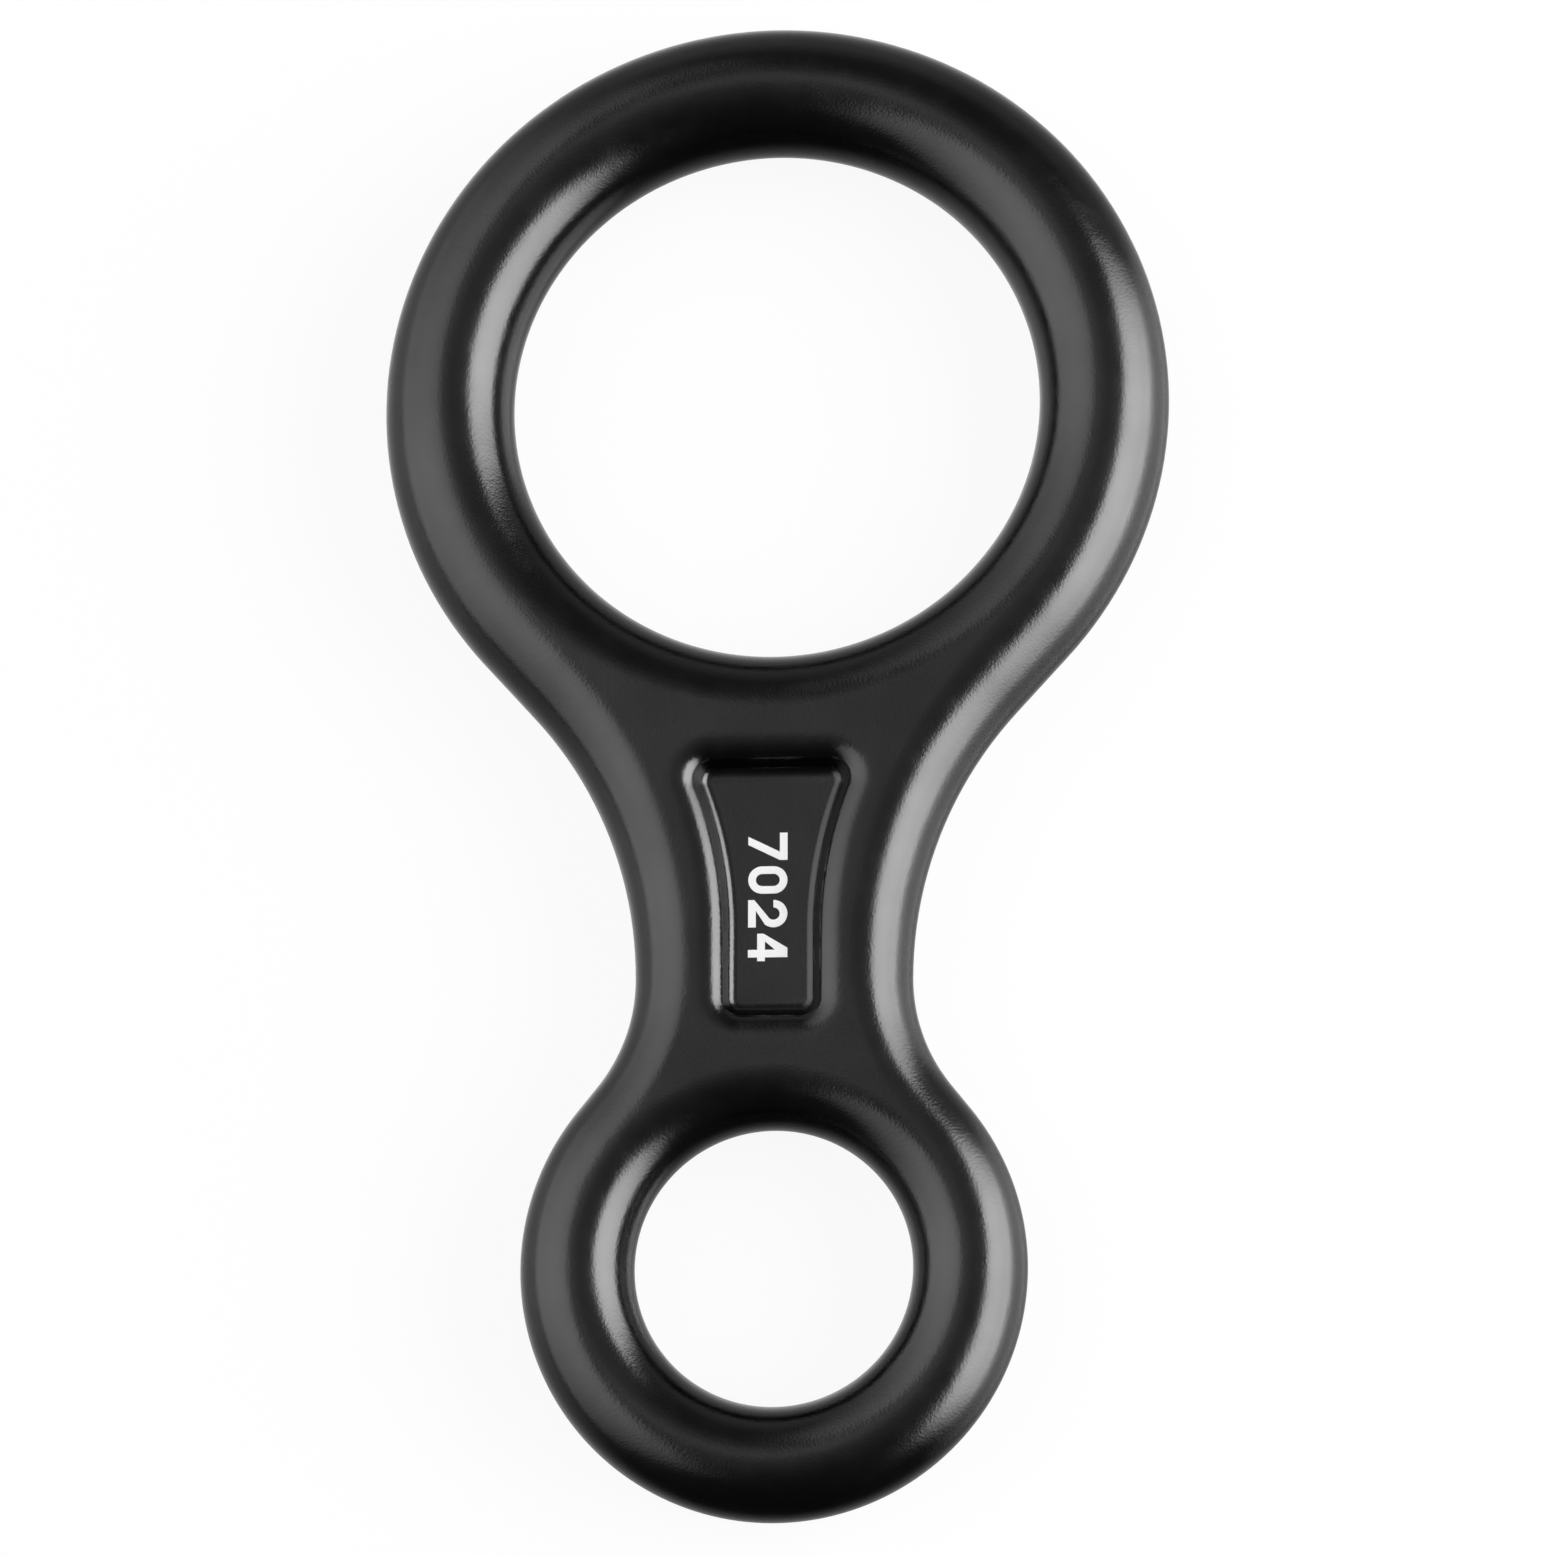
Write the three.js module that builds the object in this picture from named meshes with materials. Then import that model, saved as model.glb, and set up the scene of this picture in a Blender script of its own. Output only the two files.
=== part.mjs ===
// Figure eight descender: a large rope ring and a small carabiner ring of round bar,
// joined by a web with a shallow recess in each face, forged in one piece.
// Millimetres. The rope ring is at +Y, and the printed front face looks along +Z.
// Shapes are worked out from the rope ring's centre, on the plane half way through the bar.
import * as THREE from "three";
import { mergeVertices } from "three/addons/utils/BufferGeometryUtils.js";

// Driving dimensions of the rings
const ropeHoleDiameter = 52.4;
const ropeBarDiameter = 12.8;
const carabinerHoleDiameter = 26.8;
const carabinerBarDiameter = 11;
const ringCentreDistance = 86.6;

// Driving dimensions of the web
const neckWidth = 27;
const neckToCarabinerRingCentre = 28.1;
const shoulderStraightLength = 7.6;
const footStraightLength = 3;

// Driving dimensions of the recess
const recessTopToRopeCrest = 6.6;
const recessBottomToCarabinerCrest = 6.3;
const recessStraightShare = 0.324;
const recessFlareRadius = 41;
const recessLandWidth = 1.15;
const recessCoreThickness = 7;
const recessCornerRadius = 0.4;
const recessFloorFillet = 1.1;
const recessSideRimFillet = 2.4;
const recessTopRimFillet = 3.8;

// The printed number. Its start and length are shares of the recess floor's length, and
// its height and its shift to the left are shares of the floor's width at the neck.
const inkThickness = 0.1;
const numberStartShare = 0.243;
const numberLengthShare = 0.572;
const digitHeightShare = 0.58;
const numberShiftShare = 0.061;

// Digits as drawn, before the number is stretched to its length: shares of a digit's
// height, then a share of its width
const digitWidthShare = 0.71;
const digitStrokeShare = 0.195;
const digitGapShare = 0.233;

// Corners of the digits, as shares of the width of a stroke
const slantWidthShare = 1.1;
const sevenLegShare = 0.5;
const twoHeelShare = 0.8;
const twoInstepShare = 1.4;
const fourStemShare = 0.5;
const fourBarShare = 1.2;
const fourTopShare = 0.25;
const fourCornerShare = 0.17;
const fourPeakShare = 1.6;

// Steepness of the recess wall, and how finely the round shapes are cut into flats
const recessWallAngle = THREE.MathUtils.degToRad(62);
const ropeRingFacetAngle = THREE.MathUtils.degToRad(5);
const carabinerRingFacetAngle = THREE.MathUtils.degToRad(7.5);
const webArcFacetAngle = THREE.MathUtils.degToRad(5);
const flareFacetAngle = THREE.MathUtils.degToRad(4);
const cornerFacetAngle = THREE.MathUtils.degToRad(30);
const twoBowlEnd = THREE.MathUtils.degToRad(-38);
const barQuarterSteps = 6;
const floorFilletSteps = 2;
const rimFilletSteps = 4;
const digitCurveSteps = 10;
const quarterTurn = Math.PI / 2;
const halfTurn = Math.PI;
const fullTurn = 2 * Math.PI;

// Sizes that follow from the driving dimensions
const ropeBarRadius = ropeBarDiameter / 2;
const ropeMeanRadius = ropeHoleDiameter / 2 + ropeBarRadius;
const ropeOuterRadius = ropeMeanRadius + ropeBarRadius;
const carabinerBarRadius = carabinerBarDiameter / 2;
const carabinerMeanRadius = carabinerHoleDiameter / 2 + carabinerBarRadius;
const carabinerOuterRadius = carabinerMeanRadius + carabinerBarRadius;
const neckHalfWidth = neckWidth / 2;
const neckLevel = neckToCarabinerRingCentre - ringCentreDistance;
const recessFloorHeight = recessCoreThickness / 2;
const recessTop = -ropeMeanRadius - recessTopToRopeCrest;
const recessBottom = carabinerMeanRadius + recessBottomToCarabinerCrest - ringCentreDistance;
const ropeCentre = new THREE.Vector2(0, 0);
const carabinerCentre = new THREE.Vector2(0, -ringCentreDistance);

// The side of the web is an arc that is vertical at the neck and runs into a ring
// through a straight that touches both. The radius of that arc follows from the rest.
function sideArc(ringCentre, ringRadius, straightLength) {
  const rise = ringCentre.y - neckLevel;
  const radius =
    (neckHalfWidth ** 2 + rise ** 2 - ringRadius ** 2 - straightLength ** 2) /
    (2 * (ringRadius - neckHalfWidth));
  const centre = new THREE.Vector2(neckHalfWidth + radius, neckLevel);
  const toArc = centre.clone().sub(ringCentre);
  const lean = Math.atan2(straightLength, ringRadius + radius);
  const tangentAngle = toArc.angle() + Math.sign(rise) * lean;
  return { centre, radius, tangentAngle };
}

const shoulder = sideArc(ropeCentre, ropeOuterRadius, shoulderStraightLength);
const foot = sideArc(carabinerCentre, carabinerOuterRadius, footStraightLength);
const shoulderAngle = shoulder.tangentAngle - fullTurn;
const footAngle = foot.tangentAngle;

// The faces of the web are flat planes that lean in from the rope ring's crest
// to the carabiner ring's crest, between the points where the sides leave the rings.
const webTop = ropeMeanRadius * Math.sin(shoulderAngle);
const webBottom = carabinerCentre.y + carabinerMeanRadius * Math.sin(footAngle);

function crestHeight(y) {
  const share = THREE.MathUtils.clamp((y - webBottom) / (webTop - webBottom), 0, 1);
  return THREE.MathUtils.lerp(carabinerBarRadius, ropeBarRadius, share);
}

// Angles from the first stop to the last, through each stop, in steps no wider than a facet
function anglesThrough(stops, facetAngle) {
  const angles = [stops[0]];
  for (let i = 1; i < stops.length; i += 1) {
    const span = stops[i] - stops[i - 1];
    const count = Math.max(1, Math.ceil(Math.abs(span) / facetAngle));
    for (let step = 1; step <= count; step += 1) {
      angles.push(stops[i - 1] + (span * step) / count);
    }
  }
  return angles;
}

// A station is a point of an edge outline, with the direction into the metal from there
// and the distance to the crest, where the rounded edge is at its full height.
function arcStations(centre, radius, angles, inwardSign, crestDistanceFor) {
  return angles.map((angle) => {
    const radial = new THREE.Vector2(Math.cos(angle), Math.sin(angle));
    const point = centre.clone().addScaledVector(radial, radius);
    return {
      point,
      inward: radial.multiplyScalar(inwardSign),
      crestDistance: crestDistanceFor(point.y),
    };
  });
}

// From the edge of the web to its crest. This grows evenly from one bar radius, where
// the foot arc begins, to the other, where the shoulder arc ends.
const footLevel = neckLevel - foot.radius * Math.sin(footAngle);
const shoulderLevel = neckLevel - shoulder.radius * Math.sin(shoulderAngle);

function crestDistanceAt(y) {
  const share = (y - footLevel) / (shoulderLevel - footLevel);
  return THREE.MathUtils.lerp(carabinerBarRadius, ropeBarRadius, share);
}

// Right side of the web, from the carabiner ring up to the rope ring
function webSideStations() {
  const footAngles = anglesThrough([halfTurn + footAngle, halfTurn], webArcFacetAngle);
  const shoulderAngles = anglesThrough([halfTurn, halfTurn + shoulderAngle], webArcFacetAngle);
  return [
    ...arcStations(foot.centre, foot.radius, footAngles, 1, crestDistanceAt),
    ...arcStations(shoulder.centre, shoulder.radius, shoulderAngles, 1, crestDistanceAt).slice(1),
  ];
}

function mirrored(stations) {
  return stations
    .map(({ point, inward, crestDistance }) => ({
      point: new THREE.Vector2(-point.x, point.y),
      inward: new THREE.Vector2(-inward.x, inward.y),
      crestDistance,
    }))
    .reverse();
}

const ropeFreeAngles = anglesThrough(
  [shoulderAngle, 0, quarterTurn, halfTurn, halfTurn - shoulderAngle],
  ropeRingFacetAngle,
);
const ropeWebAngles = anglesThrough(
  [halfTurn - shoulderAngle, halfTurn + quarterTurn, fullTurn + shoulderAngle],
  ropeRingFacetAngle,
);
const carabinerFreeAngles = anglesThrough(
  [halfTurn - footAngle, halfTurn, halfTurn + quarterTurn, fullTurn, fullTurn + footAngle],
  carabinerRingFacetAngle,
);
const carabinerWebAngles = anglesThrough(
  [footAngle, quarterTurn, halfTurn - footAngle],
  carabinerRingFacetAngle,
);

function crestPoint(station) {
  return station.point.clone().addScaledVector(station.inward, station.crestDistance);
}

// The front half of the body is gathered here as triangles. The back is its mirror image.
const frontTriangles = [];

function addTriangle(a, b, c) {
  frontTriangles.push(a, b, c);
}

function addQuad(a, b, c, d) {
  addTriangle(a, b, c);
  addTriangle(a, c, d);
}

// Joins rings of points, where each ring lies to the left of the one before it
function addRings(rings) {
  for (let step = 0; step + 1 < rings.length; step += 1) {
    const near = rings[step];
    const far = rings[step + 1];
    near.forEach((point, i) => {
      const next = (i + 1) % near.length;
      addQuad(point, near[next], far[next], far[i]);
    });
  }
}

// A full round edge: a quarter round from the outline up to the crest
function addRoundEdge(stations) {
  const rings = [];
  for (let step = 0; step <= barQuarterSteps; step += 1) {
    const turn = (quarterTurn * step) / barQuarterSteps;
    rings.push(
      stations.map((station) => {
        const distance = station.crestDistance * (1 - Math.cos(turn));
        const place = station.point.clone().addScaledVector(station.inward, distance);
        const height = crestHeight(crestPoint(station).y) * Math.sin(turn);
        return new THREE.Vector3(place.x, place.y, step === 0 ? 0 : height);
      }),
    );
  }
  addRings(rings);
}

// A flat area with holes, lifted to the height that each of its points has
function addFlat(outline, holes, heightAt) {
  const points = [outline, ...holes].flat();
  const lifted = points.map((point) => new THREE.Vector3(point.x, point.y, heightAt(point)));
  for (const [a, b, c] of THREE.ShapeUtils.triangulateShape(outline, holes)) {
    addTriangle(lifted[a], lifted[b], lifted[c]);
  }
}

// Half the width of the recess floor at the neck: what the wall, the flat land beside it
// and the rounded edge of the web leave
function recessHalfWidth() {
  const roundEdge = crestDistanceAt(neckLevel);
  return neckHalfWidth - roundEdge - recessLandWidth - wallSizes(neckLevel, 0).run;
}

// The floor of the recess has a straight top and bottom edge, sides that are straight
// below and flare out above, and tight corners. Right half first, counterclockwise.
function recessFloorEdge() {
  const halfWidth = recessHalfWidth();
  const flareBottom = THREE.MathUtils.lerp(recessBottom, recessTop, recessStraightShare);
  const flareLength = recessTop - flareBottom;
  const flareCentre = new THREE.Vector2(halfWidth + recessFlareRadius, flareBottom);
  const flareEnd = Math.asin((flareLength - recessCornerRadius) / recessFlareRadius);
  const flareAngles = anglesThrough([0, flareEnd], flareFacetAngle);
  const bottomCorner = new THREE.Vector2(
    halfWidth - recessCornerRadius,
    recessBottom + recessCornerRadius,
  );
  const rightHalf = [];
  for (const angle of anglesThrough([-quarterTurn, 0], cornerFacetAngle)) {
    rightHalf.push(edgePoint(bottomCorner, angle, recessCornerRadius, 1));
  }
  for (const angle of flareAngles) {
    rightHalf.push(edgePoint(flareCentre, halfTurn - angle, recessFlareRadius, -1));
  }
  const flareTop = rightHalf[rightHalf.length - 1];
  const topCorner = flareTop.point.clone().addScaledVector(flareTop.outward, -recessCornerRadius);
  for (const angle of anglesThrough([-flareEnd, quarterTurn], cornerFacetAngle).slice(1)) {
    rightHalf.push(edgePoint(topCorner, angle, recessCornerRadius, 1));
  }
  const leftHalf = rightHalf
    .map(({ point, outward }) => ({
      point: new THREE.Vector2(-point.x, point.y),
      outward: new THREE.Vector2(-outward.x, outward.y),
    }))
    .reverse();
  return [...rightHalf, ...leftHalf];
}

function edgePoint(centre, angle, radius, outwardSign) {
  const radial = new THREE.Vector2(Math.cos(angle), Math.sin(angle));
  return {
    point: centre.clone().addScaledVector(radial, radius),
    outward: radial.multiplyScalar(outwardSign),
  };
}

// Sizes of the recess wall at one level, where topShare is 1 on the top edge and 0 on a side
function wallSizes(y, topShare) {
  const depth = crestHeight(y) - recessFloorHeight;
  const dropShare = 1 - Math.cos(recessWallAngle);
  const wantedFillet = THREE.MathUtils.lerp(recessSideRimFillet, recessTopRimFillet, topShare);
  const floorFillet = Math.min(recessFloorFillet, depth / (2 * dropShare));
  const rimFillet = Math.min(wantedFillet, depth / dropShare - floorFillet);
  const wallRun =
    (depth - (rimFillet + floorFillet) * dropShare) / Math.tan(recessWallAngle);
  const run = (rimFillet + floorFillet) * Math.sin(recessWallAngle) + wallRun;
  return { depth, floorFillet, rimFillet, run };
}

// The section through the recess wall at one point of the floor's edge, from the web's
// face down to the floor: a rim fillet, a steep wall and a floor fillet.
function wallSection({ point, outward }) {
  const topShare = Math.max(0, outward.y) ** 2;
  const { depth, floorFillet, rimFillet, run } = wallSizes(point.y, topShare);
  const section = [];
  for (let step = 0; step <= rimFilletSteps; step += 1) {
    const turn = (recessWallAngle * step) / rimFilletSteps;
    section.push({
      distance: run - rimFillet * Math.sin(turn),
      heightShare: 1 - (rimFillet * (1 - Math.cos(turn))) / depth,
    });
  }
  for (let step = 0; step <= floorFilletSteps; step += 1) {
    const turn = recessWallAngle * (1 - step / floorFilletSteps);
    section.push({
      distance: floorFillet * Math.sin(turn),
      heightShare: (floorFillet * (1 - Math.cos(turn))) / depth,
    });
  }
  return section.map(({ distance, heightShare }) => {
    const place = point.clone().addScaledVector(outward, distance);
    const height = THREE.MathUtils.lerp(recessFloorHeight, crestHeight(place.y), heightShare);
    return new THREE.Vector3(place.x, place.y, height);
  });
}

function bodyGeometry() {
  const rightSide = webSideStations();
  const ropeBar = () => ropeBarRadius;
  const carabinerBar = () => carabinerBarRadius;
  addRoundEdge([
    ...arcStations(ropeCentre, ropeOuterRadius, ropeFreeAngles, -1, ropeBar),
    ...mirrored(rightSide),
    ...arcStations(carabinerCentre, carabinerOuterRadius, carabinerFreeAngles, -1, carabinerBar),
    ...rightSide,
  ]);

  const ropeHoleAngles = [...ropeFreeAngles, ...ropeWebAngles.slice(1, -1)].reverse();
  const carabinerHoleAngles = [
    ...carabinerFreeAngles,
    ...carabinerWebAngles.slice(1, -1).map((angle) => angle + fullTurn),
  ].reverse();
  const ropeHole = ropeHoleDiameter / 2;
  const carabinerHole = carabinerHoleDiameter / 2;
  addRoundEdge(arcStations(ropeCentre, ropeHole, ropeHoleAngles, 1, ropeBar));
  addRoundEdge(arcStations(carabinerCentre, carabinerHole, carabinerHoleAngles, 1, carabinerBar));

  const sections = recessFloorEdge().map(wallSection);
  const rings = sections[0].map((_, step) => sections.map((section) => section[step]));
  addRings(rings);
  const flatPoints = (ring) => ring.map(({ x, y }) => new THREE.Vector2(x, y));
  addFlat(flatPoints(rings[rings.length - 1]), [], () => recessFloorHeight);

  const webOutline = [
    ...arcStations(ropeCentre, ropeHole, ropeWebAngles, 1, ropeBar).reverse(),
    ...mirrored(rightSide),
    ...arcStations(carabinerCentre, carabinerHole, carabinerWebAngles, 1, carabinerBar).reverse(),
    ...rightSide,
  ].map(crestPoint);
  addFlat(webOutline, [flatPoints(rings[0])], ({ y }) => crestHeight(y));

  const positions = [];
  for (const { x, y, z } of frontTriangles) {
    positions.push(x, y, z);
  }
  for (let i = 0; i < frontTriangles.length; i += 3) {
    for (const { x, y, z } of [frontTriangles[i], frontTriangles[i + 2], frontTriangles[i + 1]]) {
      positions.push(x, y, -z);
    }
  }
  const geometry = new THREE.BufferGeometry();
  geometry.setAttribute("position", new THREE.Float32BufferAttribute(positions, 3));
  const merged = mergeVertices(geometry);
  merged.computeVertexNormals();
  return merged;
}

// Digits are drawn upright, with the lower left corner of each at zero
function digitZero({ width, height, stroke }) {
  const radius = width / 2;
  const innerRadius = radius - stroke;
  const shape = new THREE.Shape();
  shape.absarc(radius, radius, radius, halfTurn, fullTurn, false);
  shape.absarc(radius, height - radius, radius, 0, halfTurn, false);
  const opening = new THREE.Path();
  opening.absarc(radius, radius, innerRadius, halfTurn, fullTurn, false);
  opening.absarc(radius, height - radius, innerRadius, 0, halfTurn, false);
  shape.holes.push(opening);
  return shape;
}

function digitTwo({ width, height, stroke }) {
  const radius = width / 2;
  const bowlHeight = height - radius;
  const shape = new THREE.Shape();
  shape.moveTo(0, bowlHeight);
  shape.absarc(radius, bowlHeight, radius, halfTurn, twoBowlEnd, true);
  shape.lineTo(twoInstepShare * stroke, stroke);
  shape.lineTo(width, stroke);
  shape.lineTo(width, 0);
  shape.lineTo(0, 0);
  shape.lineTo(0, twoHeelShare * stroke);
  shape.absarc(radius, bowlHeight, radius - stroke, twoBowlEnd, halfTurn, false);
  return shape;
}

function digitFour({ width, height, stroke }) {
  const stemRight = width - fourStemShare * stroke;
  const stemLeft = stemRight - stroke;
  const barBottom = fourBarShare * stroke;
  const barTop = barBottom + stroke;
  const shape = new THREE.Shape();
  shape.moveTo(stemLeft, 0);
  shape.lineTo(stemRight, 0);
  shape.lineTo(stemRight, barBottom);
  shape.lineTo(width, barBottom);
  shape.lineTo(width, barTop);
  shape.lineTo(stemRight, barTop);
  shape.lineTo(stemRight, height);
  shape.lineTo(stemLeft - fourTopShare * stroke, height);
  shape.lineTo(0, barTop - fourCornerShare * stroke);
  shape.lineTo(0, barBottom);
  shape.lineTo(stemLeft, barBottom);
  const opening = new THREE.Path();
  opening.moveTo(stroke, barTop);
  opening.lineTo(stemLeft, height - fourPeakShare * stroke);
  opening.lineTo(stemLeft, barTop);
  shape.holes.push(opening);
  return shape;
}

function digitSeven({ width, height, stroke }) {
  const legLeft = sevenLegShare * stroke;
  const slantWidth = slantWidthShare * stroke;
  const shape = new THREE.Shape();
  shape.moveTo(legLeft, 0);
  shape.lineTo(legLeft + slantWidth, 0);
  shape.lineTo(width, height - stroke);
  shape.lineTo(width, height);
  shape.lineTo(0, height);
  shape.lineTo(0, height - stroke);
  shape.lineTo(width - slantWidth, height - stroke);
  return shape;
}

const bodyMaterial = new THREE.MeshStandardMaterial({
  color: 0x17181a,
  roughness: 0.3,
  metalness: 0.5,
});
const inkMaterial = new THREE.MeshStandardMaterial({
  color: 0xf4f4f2,
  roughness: 0.6,
  metalness: 0,
});

function bodyMesh() {
  const mesh = new THREE.Mesh(bodyGeometry(), bodyMaterial);
  mesh.name = "descender_body";
  return mesh;
}

// The number reads from the rope ring to the carabiner ring, its tops to the right. It is
// centred in the recess floor's width, then shifted to the left.
function printedNumber() {
  const floorWidth = 2 * recessHalfWidth();
  const floorLength = recessTop - recessBottom;
  const height = digitHeightShare * floorWidth;
  const width = digitWidthShare * height;
  const stroke = digitStrokeShare * height;
  const gap = digitGapShare * width;
  const drawings = [digitSeven, digitZero, digitTwo, digitFour];
  const drawnLength = drawings.length * (width + gap) - gap;
  const stretch = (numberLengthShare * floorLength) / drawnLength;
  const number = new THREE.Group();
  drawings.forEach((draw, index) => {
    const geometry = new THREE.ExtrudeGeometry(draw({ width, height, stroke }), {
      depth: inkThickness,
      bevelEnabled: false,
      curveSegments: digitCurveSteps,
    });
    geometry.scale(stretch, 1, 1);
    const digit = new THREE.Mesh(geometry, inkMaterial);
    digit.name = `printed_digit_${index + 1}`;
    digit.position.x = index * stretch * (width + gap);
    number.add(digit);
  });
  number.rotation.z = -quarterTurn;
  number.position.set(
    -height / 2 - numberShiftShare * floorWidth,
    recessTop - numberStartShare * floorLength,
    recessFloorHeight,
  );
  return number;
}

// The finished part stands on its lowest point, with its outline centred on the origin
const descender = new THREE.Group();
descender.add(bodyMesh(), printedNumber());
descender.position.set(
  0,
  (ringCentreDistance + carabinerOuterRadius - ropeOuterRadius) / 2,
  ropeBarRadius,
);

const part = new THREE.Group();
part.add(descender);

export default part;
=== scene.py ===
import math

import bpy
import numpy as np
from mathutils import Euler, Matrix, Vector
from mathutils.geometry import tessellate_polygon


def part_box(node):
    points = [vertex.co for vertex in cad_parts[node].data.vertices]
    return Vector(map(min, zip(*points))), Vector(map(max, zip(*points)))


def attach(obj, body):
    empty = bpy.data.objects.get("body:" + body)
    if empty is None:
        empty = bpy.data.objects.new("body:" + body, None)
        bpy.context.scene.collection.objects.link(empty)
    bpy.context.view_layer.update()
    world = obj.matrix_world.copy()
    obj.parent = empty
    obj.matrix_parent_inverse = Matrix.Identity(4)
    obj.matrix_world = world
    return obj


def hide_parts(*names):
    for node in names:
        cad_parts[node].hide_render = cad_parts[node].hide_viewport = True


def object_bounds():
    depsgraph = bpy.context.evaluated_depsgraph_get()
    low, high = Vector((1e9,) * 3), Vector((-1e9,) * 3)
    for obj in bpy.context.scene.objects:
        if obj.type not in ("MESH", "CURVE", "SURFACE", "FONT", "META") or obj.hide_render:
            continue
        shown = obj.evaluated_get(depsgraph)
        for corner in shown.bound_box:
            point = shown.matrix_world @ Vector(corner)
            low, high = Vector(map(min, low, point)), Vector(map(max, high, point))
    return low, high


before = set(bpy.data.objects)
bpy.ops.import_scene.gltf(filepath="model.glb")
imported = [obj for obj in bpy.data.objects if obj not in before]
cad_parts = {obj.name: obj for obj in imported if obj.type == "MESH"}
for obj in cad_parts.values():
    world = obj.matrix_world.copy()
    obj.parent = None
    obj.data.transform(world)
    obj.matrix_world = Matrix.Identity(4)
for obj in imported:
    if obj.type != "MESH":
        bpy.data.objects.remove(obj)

CAD_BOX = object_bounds()
BODY_LOW, BODY_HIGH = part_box("descender_body")
MM = 0.001

# The rope ring fills the CAD body's width and height, and the two rings its length.
ROPE_OUTER_RADIUS = (BODY_HIGH.x - BODY_LOW.x) / 2
ROPE_BAR_RADIUS = (BODY_HIGH.z - BODY_LOW.z) / 2
ROPE_CREST_RADIUS = ROPE_OUTER_RADIUS - ROPE_BAR_RADIUS
ROPE_HOLE_RADIUS = ROPE_CREST_RADIUS - ROPE_BAR_RADIUS
CARABINER_BAR_RADIUS = 5.5 * MM
CARABINER_HOLE_RADIUS = 13.4 * MM
CARABINER_CREST_RADIUS = CARABINER_HOLE_RADIUS + CARABINER_BAR_RADIUS
CARABINER_OUTER_RADIUS = CARABINER_CREST_RADIUS + CARABINER_BAR_RADIUS
ROPE_CENTRE = np.array([0, BODY_HIGH.y - ROPE_OUTER_RADIUS])
CARABINER_CENTRE = np.array([0, BODY_LOW.y + CARABINER_OUTER_RADIUS])
MID_HEIGHT = (BODY_LOW.z + BODY_HIGH.z) / 2

# The web between the rings
NECK_HALF_WIDTH = 13.5 * MM
NECK_LEVEL = CARABINER_CENTRE[1] + 28.1 * MM
SHOULDER_STRAIGHT = 7.6 * MM
FOOT_STRAIGHT = 3 * MM

# The recess in each face of the web. Its sides run straight over the lower share of its length,
# and at the neck its rim leaves the land, a narrow flat, before the web's rounded edge.
RECESS_TOP = ROPE_CENTRE[1] - ROPE_CREST_RADIUS - 6.6 * MM
RECESS_BOTTOM = CARABINER_CENTRE[1] + CARABINER_CREST_RADIUS + 6.3 * MM
RECESS_STRAIGHT_SHARE = 0.324
RECESS_FLARE_RADIUS = 41 * MM
RECESS_LAND = 0.15 * MM
RECESS_FLOOR_HEIGHT = 3.5 * MM
RECESS_CORNER_RADIUS = 0.4 * MM
RECESS_FLOOR_FILLET = 1.1 * MM
RECESS_RIM_LENGTH = 3.4 * MM
RECESS_WALL_ANGLE = math.radians(62)

# How finely the round shapes are drawn, and parts of a turn
ARC_STEP = math.radians(2)
CORNER_STEP = math.radians(6)
EDGE_STEPS = 16
RIM_STEPS = 16
RIM_SUBSTEPS = 20
FLOOR_FILLET_STEPS = 8
WELD_DISTANCE = 0.001 * MM
QUARTER = math.pi / 2
HALF = math.pi
FULL = 2 * math.pi


def side_arc(ring_centre, ring_radius, straight):
    """Arc of the web's right side: vertical at the neck, and joined to a ring by a straight."""
    rise = ring_centre[1] - NECK_LEVEL
    squares = NECK_HALF_WIDTH**2 + rise**2 - ring_radius**2 - straight**2
    radius = squares / (2 * (ring_radius - NECK_HALF_WIDTH))
    centre = np.array([NECK_HALF_WIDTH + radius, NECK_LEVEL])
    away = centre - ring_centre
    lean = math.atan2(straight, ring_radius + radius)
    return centre, radius, math.atan2(away[1], away[0]) + math.copysign(lean, rise)


SHOULDER_CENTRE, SHOULDER_RADIUS, SHOULDER_ANGLE = side_arc(
    ROPE_CENTRE, ROPE_OUTER_RADIUS, SHOULDER_STRAIGHT
)
FOOT_CENTRE, FOOT_RADIUS, FOOT_ANGLE = side_arc(
    CARABINER_CENTRE, CARABINER_OUTER_RADIUS, FOOT_STRAIGHT
)
WEB_TOP = ROPE_CENTRE[1] + ROPE_CREST_RADIUS * math.sin(SHOULDER_ANGLE)
WEB_BOTTOM = CARABINER_CENTRE[1] + CARABINER_CREST_RADIUS * math.sin(FOOT_ANGLE)
SHOULDER_LEVEL = NECK_LEVEL - SHOULDER_RADIUS * math.sin(SHOULDER_ANGLE)
FOOT_LEVEL = NECK_LEVEL - FOOT_RADIUS * math.sin(FOOT_ANGLE)


def crest_height(y):
    """Height of the web's flat face over the mid-plane, from one ring's crest to the other's."""
    levels = (WEB_BOTTOM, WEB_TOP)
    return np.interp(y, levels, (CARABINER_BAR_RADIUS, ROPE_BAR_RADIUS))


def crest_distance(y):
    """Width of the web's rounded edge, from one ring's bar radius to the other's."""
    levels = (FOOT_LEVEL, SHOULDER_LEVEL)
    return np.interp(y, levels, (CARABINER_BAR_RADIUS, ROPE_BAR_RADIUS))


def rope_bar(y):
    return np.full_like(y, ROPE_BAR_RADIUS)


def carabiner_bar(y):
    return np.full_like(y, CARABINER_BAR_RADIUS)


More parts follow.
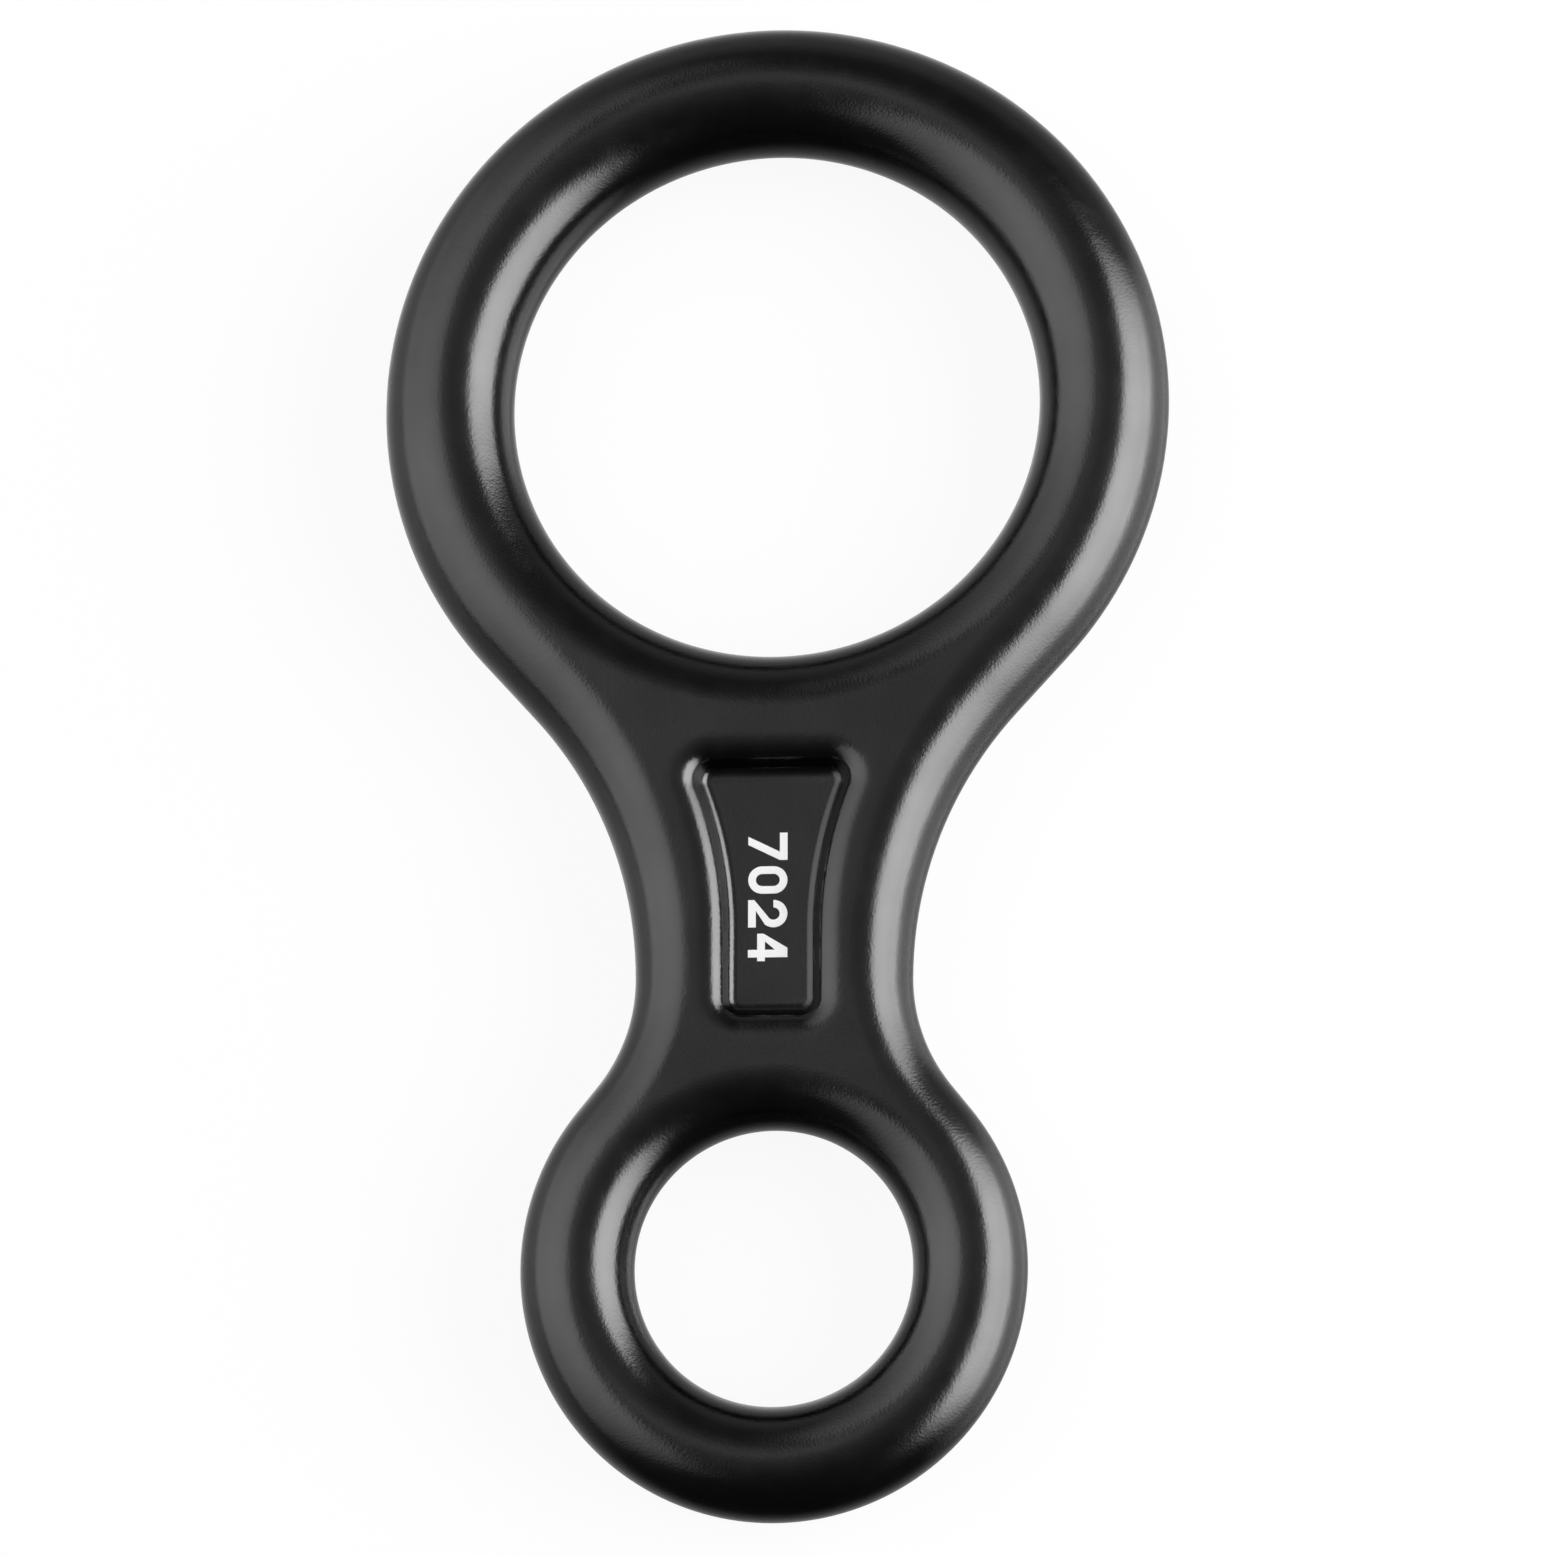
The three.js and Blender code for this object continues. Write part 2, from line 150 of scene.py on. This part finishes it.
def angles_through(stops, step=ARC_STEP):
    """Angles from the first stop to the last, through each stop, in steps no wider than step."""
    angles = [stops[:1]]
    for start, end in zip(stops, stops[1:]):
        count = max(1, math.ceil(abs(end - start) / step))
        angles.append(np.linspace(start, end, count + 1)[1:])
    return np.concatenate(angles)


def arc(centre, radius, angles, inward_sign):
    """Points of an arc: x, y, and the direction into the metal in x and y."""
    radial = np.column_stack([np.cos(angles), np.sin(angles)])
    return np.column_stack([centre + radius * radial, inward_sign * radial])


def edge_arc(centre, radius, angles, inward_sign, width_at):
    """Stations of a rounded edge: the points of an arc, and the edge's width at each."""
    points = arc(centre, radius, angles, inward_sign)
    return np.column_stack([points, width_at(points[:, 1])])


def mirrored(stations):
    return (stations * [-1, 1, -1, 1, 1])[::-1]


def crest_points(stations):
    return stations[:, :2] + stations[:, 2:4] * stations[:, 4:]


def web_side():
    """Right side of the web, from the carabiner ring up to the rope ring."""
    foot_angles = angles_through([HALF + FOOT_ANGLE, HALF])
    shoulder_angles = angles_through([HALF, HALF + SHOULDER_ANGLE])
    foot = edge_arc(FOOT_CENTRE, FOOT_RADIUS, foot_angles, 1, crest_distance)
    shoulder = edge_arc(SHOULDER_CENTRE, SHOULDER_RADIUS, shoulder_angles, 1, crest_distance)
    return np.concatenate([foot, shoulder[1:]])


class FrontHalf:
    """Vertices and faces of the half of the body in front of the mid-plane."""

    def __init__(self):
        self.points = []
        self.faces = []

    def add_points(self, points):
        start = len(self.points)
        self.points.extend(map(tuple, points))
        return np.arange(start, len(self.points))

    def add_rings(self, rings):
        """Joins closed rings of points, where each ring lies to the left of the last."""
        near = self.add_points(rings[0])
        for ring in rings[1:]:
            far = self.add_points(ring)
            corners = (near, np.roll(near, -1), np.roll(far, -1), far)
            self.faces.extend(zip(*(c.tolist() for c in corners)))
            near = far

    def add_flat(self, outlines, heights):
        """Fills the first outline, less the others, with triangles that face the front."""
        loops = [[Vector((*p, 0)) for p in outline] for outline in outlines]
        flat = np.concatenate(outlines)
        first = self.add_points(np.column_stack([flat, heights(flat[:, 1])]))[0]
        for a, b, c in tessellate_polygon(loops):
            ab = flat[b] - flat[a]
            ac = flat[c] - flat[a]
            front = ab[0] * ac[1] > ab[1] * ac[0]
            self.faces.append([first + i for i in ((a, b, c) if front else (a, c, b))])

    def add_round_edge(self, stations):
        """A quarter round, from the outline at the mid-plane up to the crest."""
        top = crest_height(crest_points(stations)[:, 1])
        rings = []
        for turn in np.linspace(0, QUARTER, EDGE_STEPS + 1):
            reach = stations[:, 4:] * (1 - math.cos(turn))
            place = stations[:, :2] + stations[:, 2:4] * reach
            rings.append(np.column_stack([place, top * math.sin(turn)]))
        self.add_rings(rings)

    def whole_mesh(self, name):
        """The half and its mirror image, moved to the height where the weld modifier joins them."""
        front = np.array(self.points)
        back = front * [1, 1, -1]
        lifted = np.concatenate([front, back]) + [0, 0, MID_HEIGHT]
        behind = [[len(front) + i for i in reversed(face)] for face in self.faces]
        mesh = bpy.data.meshes.new(name)
        mesh.from_pydata(lifted.tolist(), [], self.faces + behind)
        return mesh


def recess_rim():
    """Run and drop along the rim, which starts flat and bends more and more up to the wall."""
    count = RIM_STEPS * RIM_SUBSTEPS
    share = (np.arange(count) + 0.5) / count
    lean = RECESS_WALL_ANGLE * share**2
    step = RECESS_RIM_LENGTH / count
    run = np.append(0, np.cumsum(np.cos(lean) * step))
    drop = np.append(0, np.cumsum(np.sin(lean) * step))
    return run[::RIM_SUBSTEPS], drop[::RIM_SUBSTEPS]


def recess_wall(y):
    """Depth of the recess at a level, and the run of its rim, wall and floor fillet."""
    depth = crest_height(y) - RECESS_FLOOR_HEIGHT
    run, drop = recess_rim()
    floor_drop = RECESS_FLOOR_FILLET * (1 - math.cos(RECESS_WALL_ANGLE))
    straight = (depth - drop[-1] - floor_drop) / math.tan(RECESS_WALL_ANGLE)
    return depth, run[-1] + straight + RECESS_FLOOR_FILLET * math.sin(RECESS_WALL_ANGLE)


def recess_floor_edge():
    """Edge of the recess floor, counterclockwise: straight below, flared above, tight corners."""
    round_edge = crest_distance(NECK_LEVEL)
    wall_run = recess_wall(NECK_LEVEL)[1]
    half_width = NECK_HALF_WIDTH - round_edge - RECESS_LAND - wall_run
    flare_bottom = RECESS_BOTTOM + RECESS_STRAIGHT_SHARE * (RECESS_TOP - RECESS_BOTTOM)
    flare_centre = np.array([half_width + RECESS_FLARE_RADIUS, flare_bottom])
    flare_rise = RECESS_TOP - flare_bottom - RECESS_CORNER_RADIUS
    flare_end = math.asin(flare_rise / RECESS_FLARE_RADIUS)
    flare_angles = HALF - angles_through([0, flare_end], ARC_STEP / 2)
    flare = arc(flare_centre, RECESS_FLARE_RADIUS, flare_angles, -1)
    bottom_centre = np.array([half_width, RECESS_BOTTOM]) + RECESS_CORNER_RADIUS * np.array([-1, 1])
    bottom_angles = angles_through([-QUARTER, 0], CORNER_STEP)
    bottom_corner = arc(bottom_centre, RECESS_CORNER_RADIUS, bottom_angles, 1)
    top_centre = flare[-1, :2] - RECESS_CORNER_RADIUS * flare[-1, 2:]
    top_angles = angles_through([-flare_end, QUARTER], CORNER_STEP)
    top_corner = arc(top_centre, RECESS_CORNER_RADIUS, top_angles, 1)
    right = np.concatenate([bottom_corner, flare, top_corner[1:]])
    left = (right * [-1, 1, -1, 1])[::-1]
    return np.concatenate([right, left])


def recess_rings():
    """Rings of the recess, from the web's face down its rim, its wall and its floor fillet."""
    edge = recess_floor_edge()
    point = edge[:, :2]
    outward = edge[:, 2:]
    depth, wall_run = recess_wall(point[:, 1])
    rings = []
    for run, drop in zip(*recess_rim()):
        rings.append((wall_run - run, 1 - drop / depth))
    for turn in np.linspace(RECESS_WALL_ANGLE, 0, FLOOR_FILLET_STEPS + 1):
        distance = RECESS_FLOOR_FILLET * math.sin(turn)
        rise = RECESS_FLOOR_FILLET * (1 - math.cos(turn))
        rings.append((np.full_like(depth, distance), rise / depth))
    placed = []
    for distance, height_share in rings:
        place = point + outward * distance[:, None]
        face = crest_height(place[:, 1])
        height = RECESS_FLOOR_HEIGHT + height_share * (face - RECESS_FLOOR_HEIGHT)
        placed.append(np.column_stack([place, height]))
    return placed


def descender_mesh():
    right = web_side()
    left = mirrored(right)
    rope_free = angles_through([SHOULDER_ANGLE, 0, QUARTER, HALF, HALF - SHOULDER_ANGLE])
    rope_web = angles_through([HALF - SHOULDER_ANGLE, HALF + QUARTER, FULL + SHOULDER_ANGLE])
    carabiner_free = angles_through(
        [HALF - FOOT_ANGLE, HALF, HALF + QUARTER, FULL, FULL + FOOT_ANGLE]
    )
    carabiner_web = angles_through([FOOT_ANGLE, QUARTER, HALF - FOOT_ANGLE])

    def rope(radius, angles, inward_sign):
        return edge_arc(ROPE_CENTRE, radius, angles, inward_sign, rope_bar)

    def carabiner(radius, angles, inward_sign):
        return edge_arc(CARABINER_CENTRE, radius, angles, inward_sign, carabiner_bar)

    half = FrontHalf()
    rope_outer = rope(ROPE_OUTER_RADIUS, rope_free, -1)
    carabiner_outer = carabiner(CARABINER_OUTER_RADIUS, carabiner_free, -1)
    half.add_round_edge(np.concatenate([rope_outer, left, carabiner_outer, right]))
    rope_round = np.concatenate([rope_free, rope_web[1:-1]])[::-1]
    carabiner_round = np.concatenate([carabiner_free, carabiner_web[1:-1] + FULL])[::-1]
    half.add_round_edge(rope(ROPE_HOLE_RADIUS, rope_round, 1))
    half.add_round_edge(carabiner(CARABINER_HOLE_RADIUS, carabiner_round, 1))
    rings = recess_rings()
    half.add_rings(rings)
    half.add_flat([rings[-1][:, :2]], lambda y: np.full_like(y, RECESS_FLOOR_HEIGHT))
    web = np.concatenate(
        [
            rope(ROPE_HOLE_RADIUS, rope_web, 1)[::-1],
            left,
            carabiner(CARABINER_HOLE_RADIUS, carabiner_web, 1)[::-1],
            right,
        ]
    )
    half.add_flat([crest_points(web), rings[0][:, :2]], crest_height)
    return half.whole_mesh("forged_body")


def forged_body():
    body = bpy.data.objects.new("forged_body", descender_mesh())
    bpy.context.scene.collection.objects.link(body)
    body.data.materials.append(black_anodised())
    body.data.shade_smooth()
    weld = body.modifiers.new("weld", "WELD")
    weld.merge_threshold = WELD_DISTANCE
    normals = body.modifiers.new("face_normals", "WEIGHTED_NORMAL")
    normals.keep_sharp = True
    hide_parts("descender_body")
    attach(body, "root")


# Noise lies mostly between these two values.
NOISE_LOW = 0.3
NOISE_HIGH = 0.7

# The black surface: its colour, the ranges of its tone and its roughness, how wide the patches
# of each are, and the width and depth of its three bumps
BLACK_COLOUR = (0.075, 0.075, 0.076)
BLACK_TONE = (0.93, 1.07)
BLACK_ROUGHNESS = (0.17, 0.23)
CLOUD_SIZE = 9 * MM
GLOSS_SIZE = 2.5 * MM
SWELL_SIZE = 13 * MM
SWELL_DEPTH = 0.15 * MM
RIPPLE_SIZE = 1.8 * MM
RIPPLE_DEPTH = 0.012 * MM
GRAIN_SIZE = 0.25 * MM
GRAIN_DEPTH = 0.016 * MM

# The ink, in the same way
INK_COLOUR = (0.97, 0.97, 0.96)
INK_TONE = (0.97, 1)
INK_ROUGHNESS = (0.4, 0.55)
INK_MOTTLE_SIZE = 0.5 * MM
INK_GLOSS_SIZE = 0.25 * MM
INK_GRAIN_SIZE = 0.2 * MM
INK_GRAIN_DEPTH = 0.004 * MM


def new_material(name):
    material = bpy.data.materials.new(name)
    material.use_nodes = True
    return material, material.node_tree


def noise(tree, feature_size, detail, coordinates):
    """Noise whose features are feature_size metres across."""
    node = tree.nodes.new("ShaderNodeTexNoise")
    node.inputs["Scale"].default_value = 1 / feature_size
    node.inputs["Detail"].default_value = detail
    tree.links.new(coordinates, node.inputs["Vector"])
    return node.outputs["Fac"]


def ranged(tree, value, low, high, from_low=NOISE_LOW, from_high=NOISE_HIGH):
    """The value, moved from its own range, by default that of noise, to that from low to high."""
    node = tree.nodes.new("ShaderNodeMapRange")
    node.inputs["From Min"].default_value = from_low
    node.inputs["From Max"].default_value = from_high
    node.inputs["To Min"].default_value = low
    node.inputs["To Max"].default_value = high
    tree.links.new(value, node.inputs["Value"])
    return node.outputs["Result"]


def calculated(tree, operation, first, second):
    node = tree.nodes.new("ShaderNodeMath")
    node.operation = operation
    tree.links.new(first, node.inputs[0])
    tree.links.new(second, node.inputs[1])
    return node.outputs["Value"]


def graded(tree, value, stops):
    """The value from 0 to 1, turned into a level by a smooth curve that follows the stops."""
    node = tree.nodes.new("ShaderNodeValToRGB")
    node.color_ramp.interpolation = "B_SPLINE"
    elements = node.color_ramp.elements
    while len(elements) < len(stops):
        elements.new(0.5)
    for element, (position, level) in zip(elements, stops):
        element.position = position
        element.color = (level, level, level, 1)
    tree.links.new(value, node.inputs["Fac"])
    return node.outputs["Color"]


def tinted(tree, colour, value):
    """The colour, made lighter or darker by the value."""
    node = tree.nodes.new("ShaderNodeVectorMath")
    node.operation = "SCALE"
    node.inputs[0].default_value = colour
    tree.links.new(value, node.inputs["Scale"])
    return node.outputs["Vector"]


def bumped(tree, height, distance, below=None):
    """A bump that is distance metres deep, on top of the one below."""
    node = tree.nodes.new("ShaderNodeBump")
    node.inputs["Distance"].default_value = distance
    tree.links.new(height, node.inputs["Height"])
    if below:
        tree.links.new(below, node.inputs["Normal"])
    return node.outputs["Normal"]


def black_anodised():
    """Black anodised aluminium over a tumbled forging: a fine grain under a satin gloss."""
    material, tree = new_material("black_anodised")
    shader = tree.nodes["Principled BSDF"]
    place = tree.nodes.new("ShaderNodeTexCoord").outputs["Object"]
    cloud = ranged(tree, noise(tree, CLOUD_SIZE, 3, place), *BLACK_TONE)
    shader.inputs["Metallic"].default_value = 1
    tree.links.new(tinted(tree, BLACK_COLOUR, cloud), shader.inputs["Base Color"])
    roughness = ranged(tree, noise(tree, GLOSS_SIZE, 4, place), *BLACK_ROUGHNESS)
    tree.links.new(roughness, shader.inputs["Roughness"])
    swell = bumped(tree, noise(tree, SWELL_SIZE, 1, place), SWELL_DEPTH)
    ripple = bumped(tree, noise(tree, RIPPLE_SIZE, 2, place), RIPPLE_DEPTH, swell)
    grain = bumped(tree, noise(tree, GRAIN_SIZE, 2, place), GRAIN_DEPTH, ripple)
    tree.links.new(grain, shader.inputs["Normal"])
    return material


def white_ink():
    """White printing ink with a faint mottle and a satin surface."""
    material, tree = new_material("white_ink")
    shader = tree.nodes["Principled BSDF"]
    place = tree.nodes.new("ShaderNodeTexCoord").outputs["Object"]
    mottle = ranged(tree, noise(tree, INK_MOTTLE_SIZE, 3, place), *INK_TONE)
    tree.links.new(tinted(tree, INK_COLOUR, mottle), shader.inputs["Base Color"])
    roughness = ranged(tree, noise(tree, INK_GLOSS_SIZE, 2, place), *INK_ROUGHNESS)
    tree.links.new(roughness, shader.inputs["Roughness"])
    surface = bumped(tree, noise(tree, INK_GRAIN_SIZE, 2, place), INK_GRAIN_DEPTH)
    tree.links.new(surface, shader.inputs["Normal"])
    return material


def printed_number():
    ink = white_ink()
    for name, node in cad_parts.items():
        if name.startswith("printed_digit"):
            node.data.materials.clear()
            node.data.materials.append(ink)


# The camera's first view: its tilt, its turn to the right, its roll, and the point it looks at.
# The lamps and the world's light are placed by it too.
VIEW_ANGLES = (math.radians(13.52), math.radians(4.23), math.radians(0.16))
VIEW_TURN = Euler(VIEW_ANGLES, "ZXY").to_matrix()
AIM = Vector((0.295 * MM, -2.273 * MM, MID_HEIGHT))
CAMERA_DISTANCE = 560.6 * MM
CAMERA_LENS = 132.51
CAMERA_SENSOR = 36

# A lamp stands LAMP_DISTANCE metres away, right and up degrees off the line from the object to
# the camera, and rolled by roll degrees. Each of its curves is a list of stops from 0 to 1 and
# the brightness at each: across goes from its left to its right edge, and along from its lower
# to its upper edge. It fades towards its lower left corner as the sum of the two places falls
# from the second corner_fade value to the first. With both below 0 it doesn't fade.
LAMP_DISTANCE = 1
RIGHT_SOFTBOX = {
    "right": 60.3,
    "up": 2,
    "roll": -12,
    "width": 1.05,
    "height": 1.78,
    "radiance": 5.5,
    "across": [
        (0, 0.65), (0.18, 1.12), (0.36, 1.08), (0.56, 0.98), (0.77, 0.85), (1, 1.1),
    ],
    "along": [
        (0, 0), (0.1, 0.2), (0.2, 0.66), (0.27, 0.8), (0.36, 0.93), (0.5, 1.05), (0.7, 1),
        (0.85, 0.9), (1, 0.3),
    ],
    "corner_fade": (0.28, 0.45),
}
LEFT_SOFTBOX = {
    "right": -58.5,
    "up": 16,
    "roll": 10,
    "width": 1.43,
    "height": 2.6,
    "radiance": 1.3,
    "across": [
        (0, 1.1), (0.2, 0.95), (0.35, 0.93), (0.5, 1), (0.67, 1.03), (0.83, 0.93), (1, 0.75),
    ],
    "along": [
        (0, 0.12), (0.1, 0.3), (0.19, 0.5), (0.3, 0.74), (0.4, 1), (0.48, 1.06), (0.62, 0.72),
        (0.71, 0.6), (0.86, 0.24), (1, 0.04),
    ],
    "corner_fade": (-1, -0.5),
}

# The world's light, in curves like the lamps', by how far a direction lies towards one side of
# the first view. DIM_STUDIO goes from its low to its high side, SIDE_GLOW from its left to its
# right, and WHITE_SHEET from beside the object to behind it, which is SHEET_DIRECTION.
# FRONT_GLOW is a faint light round FRONT_DIRECTION, which shows in the flat faces. It goes from
# its edge to its middle, and FRONT_REACH is the cosine of the angle at both.
# STUDIO_FADE is where the dim studio begins and ends to fade towards the sheet.
DIM_STUDIO = [
    (0, 0.005), (0.2, 0.01), (0.4, 0.04), (0.5, 0.09), (0.6, 0.15), (0.7, 0.26), (0.79, 0.22),
    (0.86, 0.07), (0.93, 0.03), (1, 0.1),
]
SIDE_GLOW = [(0, 0.1), (0.2, 0), (0.8, 0), (1, 0.1)]
WHITE_SHEET = [
    (0, 0), (0.14, 0.105), (0.34, 0.25), (0.5, 0.35), (0.65, 0.41), (0.8, 0.46), (0.9, 0.55),
    (1, 1),
]
FRONT_GLOW = [(0, 0), (0.4, 0.02), (0.7, 0.1), (1, 0.24)]
SHEET_DIRECTION = (-0.04, 0.32, -1)
FRONT_DIRECTION = (-0.2, 0.44, 0.88)
FRONT_REACH = (0.97, 1)
STUDIO_FADE = (-0.1, 0.35)

# The floor's white is mostly its own light, so that the object's shadow on it stays faint.
# Its polish mirrors more the lower the angle, by POLISH_IOR.
FLOOR_SIDE = 8
FLOOR_COLOUR = 0.08
FLOOR_GLOW = 0.92
POLISH_IOR = 2.4
POLISH_ROUGHNESS = 0.15


def camera():
    data = bpy.data.cameras.new("camera")
    data.lens = CAMERA_LENS
    data.sensor_width = CAMERA_SENSOR
    cam = bpy.data.objects.new("camera", data)
    cam.rotation_euler = VIEW_TURN.to_euler()
    cam.location = AIM + VIEW_TURN @ Vector((0, 0, CAMERA_DISTANCE))
    bpy.context.scene.collection.objects.link(cam)
    bpy.context.scene.camera = cam


def softbox(name, right, up, roll, width, height, radiance, across, along, corner_fade):
    """An area lamp of that radiance, times its curves. The camera doesn't see it."""
    data = bpy.data.lights.new(name, "AREA")
    data.shape = "RECTANGLE"
    data.size = width
    data.size_y = height
    data.energy = radiance * math.pi * width * height
    data.use_nodes = True
    tree = data.node_tree
    place = tree.nodes.new("ShaderNodeNewGeometry").outputs["Parametric"]
    axes = tree.nodes.new("ShaderNodeSeparateXYZ")
    tree.links.new(place, axes.inputs["Vector"])
    sideways = graded(tree, axes.outputs["X"], across)
    upward = graded(tree, axes.outputs["Y"], along)
    corner = calculated(tree, "ADD", axes.outputs["X"], axes.outputs["Y"])
    level = calculated(tree, "MULTIPLY", sideways, upward)
    level = calculated(tree, "MULTIPLY", level, ranged(tree, corner, 0, 1, *corner_fade))
    tree.links.new(level, tree.nodes["Emission"].inputs["Strength"])
    lamp = bpy.data.objects.new(name, data)
    turns = (math.radians(-up), math.radians(right), math.radians(roll))
    turn = VIEW_TURN @ Euler(turns, "ZXY").to_matrix()
    lamp.rotation_euler = turn.to_euler()
    lamp.location = AIM + turn @ Vector((0, 0, LAMP_DISTANCE))
    lamp.visible_camera = False
    bpy.context.scene.collection.objects.link(lamp)


def faced(tree, axis):
    """How far a direction of the world lies along an axis of the first view, from -1 to 1."""
    direction = tree.nodes.new("ShaderNodeTexCoord").outputs["Generated"]
    node = tree.nodes.new("ShaderNodeVectorMath")
    node.operation = "DOT_PRODUCT"
    tree.links.new(direction, node.inputs[0])
    node.inputs[1].default_value = VIEW_TURN @ Vector(axis).normalized()
    return node.outputs["Value"]


def surroundings():
    """A dim studio, a faint glow before the object and a white sheet behind it, which the gloss
    shows. The camera itself, and rays through clear things, see plain white.
    """
    world = bpy.data.worlds.new("studio")
    bpy.context.scene.world = world
    world.use_nodes = True
    tree = world.node_tree
    behind = faced(tree, SHEET_DIRECTION)
    dim = graded(tree, ranged(tree, faced(tree, (0, 1, 0)), 0, 1, -1, 1), DIM_STUDIO)
    dim = calculated(tree, "MULTIPLY", dim, ranged(tree, behind, 1, 0, *STUDIO_FADE))
    sides = graded(tree, ranged(tree, faced(tree, (1, 0, 0)), 0, 1, -1, 1), SIDE_GLOW)
    sheet = graded(tree, ranged(tree, behind, 0, 1, 0, 1), WHITE_SHEET)
    front = ranged(tree, faced(tree, FRONT_DIRECTION), 0, 1, *FRONT_REACH)
    level = calculated(tree, "ADD", dim, graded(tree, front, FRONT_GLOW))
    level = calculated(tree, "ADD", level, calculated(tree, "ADD", sides, sheet))
    rays = tree.nodes.new("ShaderNodeLightPath").outputs
    seen = calculated(tree, "MAXIMUM", rays["Is Camera Ray"], rays["Is Transmission Ray"])
    level = calculated(tree, "MAXIMUM", level, seen)
    background = tree.nodes["Background"]
    background.inputs["Color"].default_value = (1, 1, 1, 1)
    tree.links.new(level, background.inputs["Strength"])


def floor_plane(name, material_name):
    """A square at the height of the object's lowest point, and the tree of its material."""
    mesh = bpy.data.meshes.new(name)
    reach = FLOOR_SIDE / 2
    corners = [(-reach, -reach), (reach, -reach), (reach, reach), (-reach, reach)]
    mesh.from_pydata([(x, y, CAD_BOX[0].z) for x, y in corners], [], [(0, 1, 2, 3)])
    plane = bpy.data.objects.new(name, mesh)
    bpy.context.scene.collection.objects.link(plane)
    material, tree = new_material(material_name)
    tree.nodes.remove(tree.nodes["Principled BSDF"])
    mesh.materials.append(material)
    return plane, tree


def floor():
    """A plain white floor. In the gloss, the world's white sheet shows in its place."""
    plane, tree = floor_plane("floor", "floor_white")
    plane.visible_glossy = False
    paper = tree.nodes.new("ShaderNodeBsdfDiffuse")
    paper.inputs["Color"].default_value = (FLOOR_COLOUR, FLOOR_COLOUR, FLOOR_COLOUR, 1)
    glow = tree.nodes.new("ShaderNodeEmission")
    rays = tree.nodes.new("ShaderNodeLightPath").outputs
    seen = calculated(tree, "MAXIMUM", rays["Is Camera Ray"], rays["Is Glossy Ray"])
    seen = calculated(tree, "MAXIMUM", seen, rays["Is Transmission Ray"])
    tree.links.new(ranged(tree, seen, 0, FLOOR_GLOW, 0, 1), glow.inputs["Strength"])
    both = tree.nodes.new("ShaderNodeAddShader")
    tree.links.new(paper.outputs["BSDF"], both.inputs[0])
    tree.links.new(glow.outputs["Emission"], both.inputs[1])
    tree.links.new(both.outputs["Shader"], tree.nodes["Material Output"].inputs["Surface"])


def floor_polish():
    """The floor's polish, which shows in the object's gloss alone: it mirrors the lamps there."""
    plane, tree = floor_plane("floor_polish", "floor_polish")
    plane.visible_camera = False
    plane.visible_diffuse = False
    plane.visible_shadow = False
    clear = tree.nodes.new("ShaderNodeBsdfTransparent")
    mirror = tree.nodes.new("ShaderNodeBsdfGlossy")
    mirror.inputs["Roughness"].default_value = POLISH_ROUGHNESS
    fresnel = tree.nodes.new("ShaderNodeFresnel")
    fresnel.inputs["IOR"].default_value = POLISH_IOR
    both = tree.nodes.new("ShaderNodeMixShader")
    tree.links.new(fresnel.outputs["Fac"], both.inputs["Fac"])
    tree.links.new(clear.outputs["BSDF"], both.inputs[1])
    tree.links.new(mirror.outputs["BSDF"], both.inputs[2])
    tree.links.new(both.outputs["Shader"], tree.nodes["Material Output"].inputs["Surface"])


bpy.context.scene.view_settings.view_transform = "Standard"
forged_body()
printed_number()
camera()
softbox("right_softbox", **RIGHT_SOFTBOX)
softbox("left_softbox", **LEFT_SOFTBOX)
surroundings()
floor()
floor_polish()
